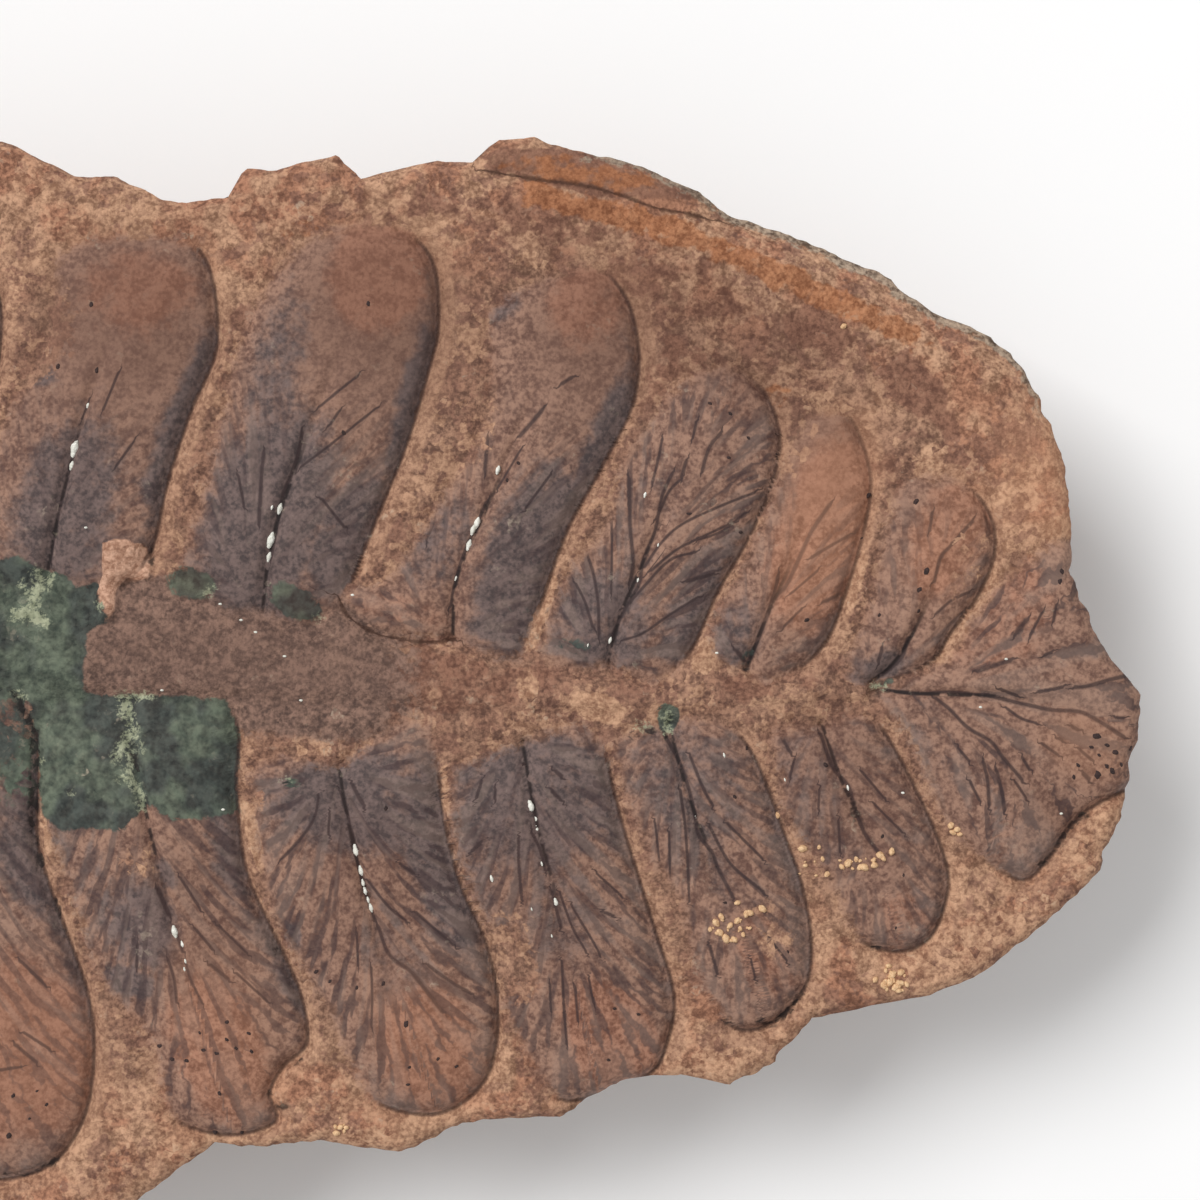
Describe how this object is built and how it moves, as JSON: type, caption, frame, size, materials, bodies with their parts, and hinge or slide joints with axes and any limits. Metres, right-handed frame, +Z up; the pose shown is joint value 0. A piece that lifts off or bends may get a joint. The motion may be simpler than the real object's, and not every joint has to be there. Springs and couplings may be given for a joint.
{
  "type": "fossil fern leaf in a split nodule",
  "caption": "Half of a split ironstone nodule lying on its back, with the relief of a seed fern's leaf, a stem between two rows of leaflets, on its face.",
  "frame": {"origin": "middle of the bottom of the stone's box, on the surface it rests on", "axes": "+X along the leaf's stem towards its end leaflet, +Y across it, +Z up out of the split face"},
  "size_m": [0.1091, 0.0564, 0.0147],
  "materials": {
    "ironstone": "dull brown ironstone, purple brown to slate on the leaflets, orange tan between them"
  },
  "bodies": {
    "root": {"fossil_nodule": "ironstone"}
  },
  "joints": []
}
